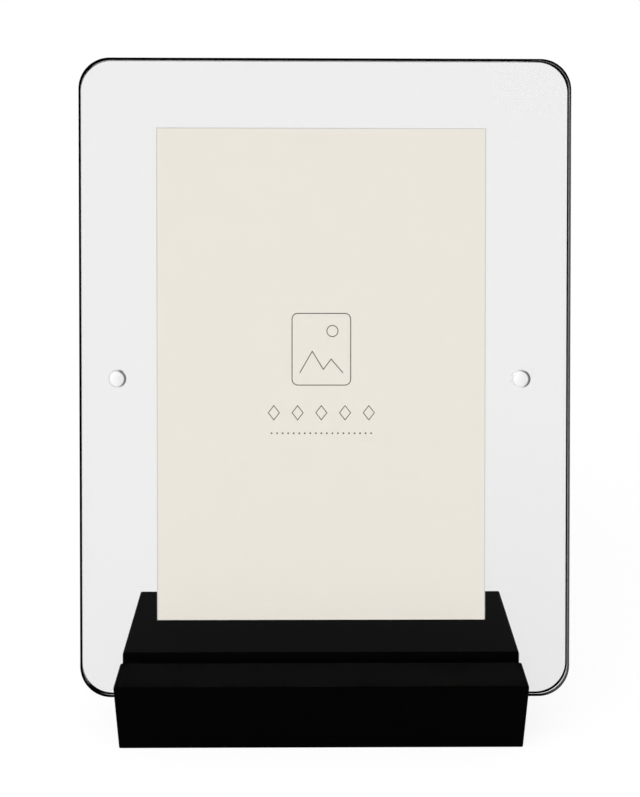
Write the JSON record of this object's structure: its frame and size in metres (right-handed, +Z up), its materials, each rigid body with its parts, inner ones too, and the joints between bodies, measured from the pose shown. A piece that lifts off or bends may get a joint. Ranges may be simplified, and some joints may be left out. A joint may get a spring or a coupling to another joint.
{
  "type": "photo frame",
  "caption": "Table photo frame: clear acrylic sheets held face to face by small round magnets, with a card between, leaning back in the slot of a black block.",
  "frame": {"origin": "middle of the block's underside, which rests on the table", "axes": "+X to the viewer's right along the block, +Y to the back, +Z up"},
  "size_m": [0.1502, 0.0843, 0.1942],
  "materials": {
    "block": "satin black",
    "clear_acrylic": "polished, clear",
    "magnet_plating": "nickel plate",
    "card": "uncoated cream card"
  },
  "bodies": {
    "block": {"base": "block"},
    "front_pane": {"front_sheet": "clear_acrylic", "front_magnet_left": "magnet_plating", "front_magnet_right": "magnet_plating"},
    "rear_pane": {"rear_sheet": "clear_acrylic", "rear_magnet_left": "magnet_plating", "rear_magnet_right": "magnet_plating"},
    "card": {"photo_card": "card"}
  },
  "joints": [
    {"name": "sheets_lift", "type": "slide", "parent": "block", "child": "front_pane", "axis": [0, 0.3665, 0.9304], "range_m": [0, 0.02]},
    {"name": "rear_sheet_slide", "type": "slide", "parent": "front_pane", "child": "rear_pane", "axis": [0, 0.3665, 0.9304], "range_m": [0, 0.2]},
    {"name": "card_slide", "type": "slide", "parent": "front_pane", "child": "card", "axis": [0, 0.3665, 0.9304], "range_m": [-0.023, 0.174]}
  ]
}
